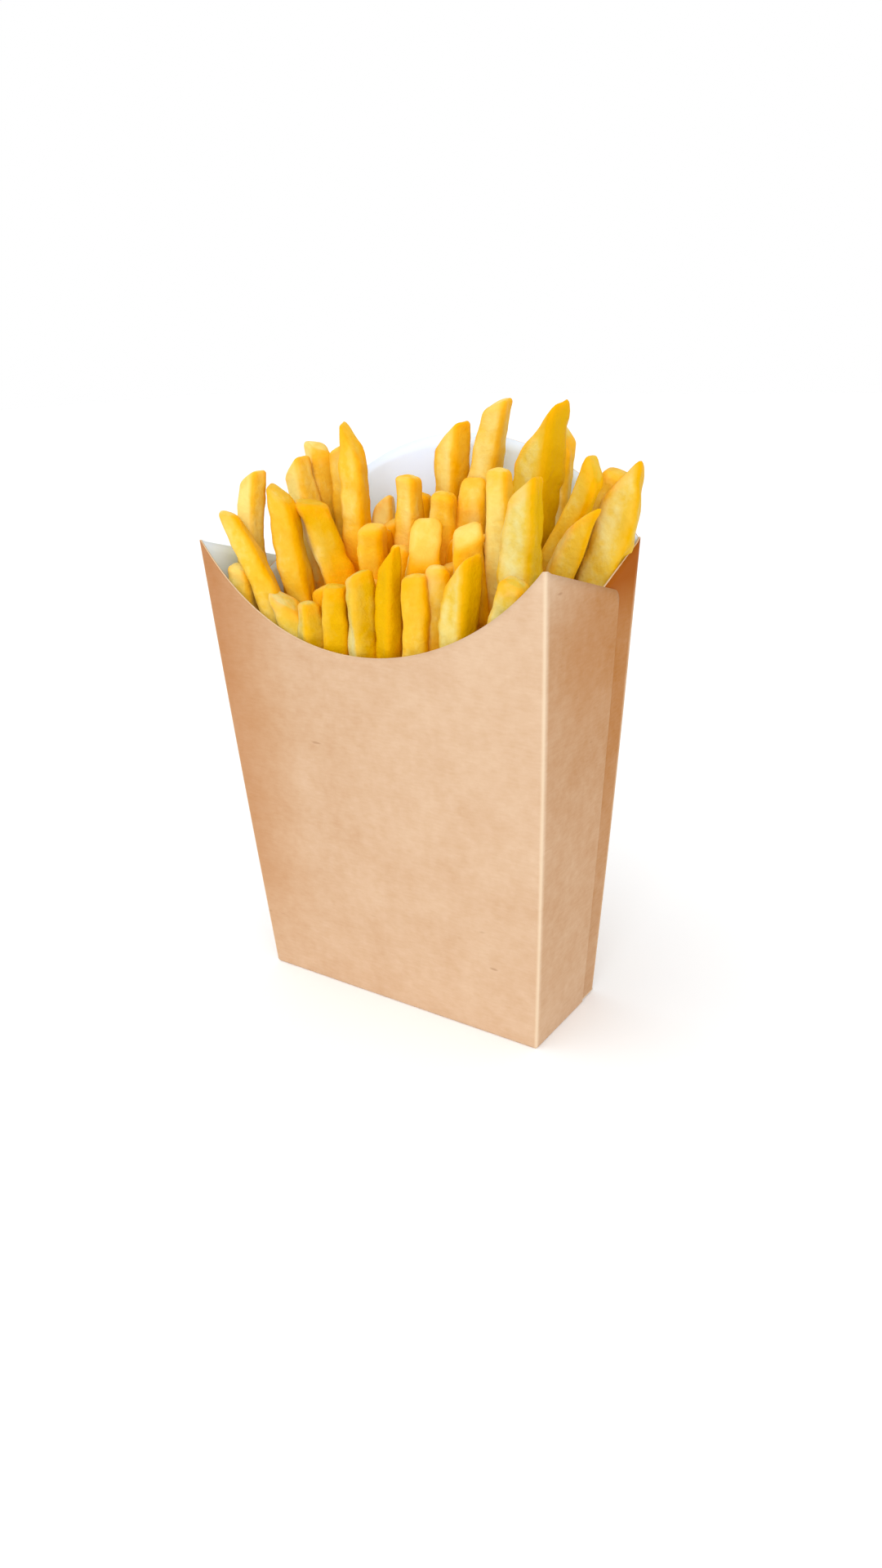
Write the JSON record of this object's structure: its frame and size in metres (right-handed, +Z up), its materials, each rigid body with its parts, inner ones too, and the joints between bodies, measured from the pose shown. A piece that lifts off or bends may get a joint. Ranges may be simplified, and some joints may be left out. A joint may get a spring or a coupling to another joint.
{
  "type": "french fries in a carton",
  "caption": "French fries standing in an open-topped kraft board carton with a scooped front, an arched white-lined back and glued side flaps.",
  "frame": {"origin": "middle of the carton's underside, which the carton stands on", "axes": "+Z up out of the carton's mouth, -Y out of the scooped front panel, +Y out of the arched back panel, +X to the right seen from the front"},
  "size_m": [0.0992, 0.0488, 0.1532],
  "materials": {
    "kraft_board": "matte",
    "fried_potato": "satin"
  },
  "bodies": {
    "root": {"carton": "kraft_board", "fries": "fried_potato"}
  },
  "joints": []
}
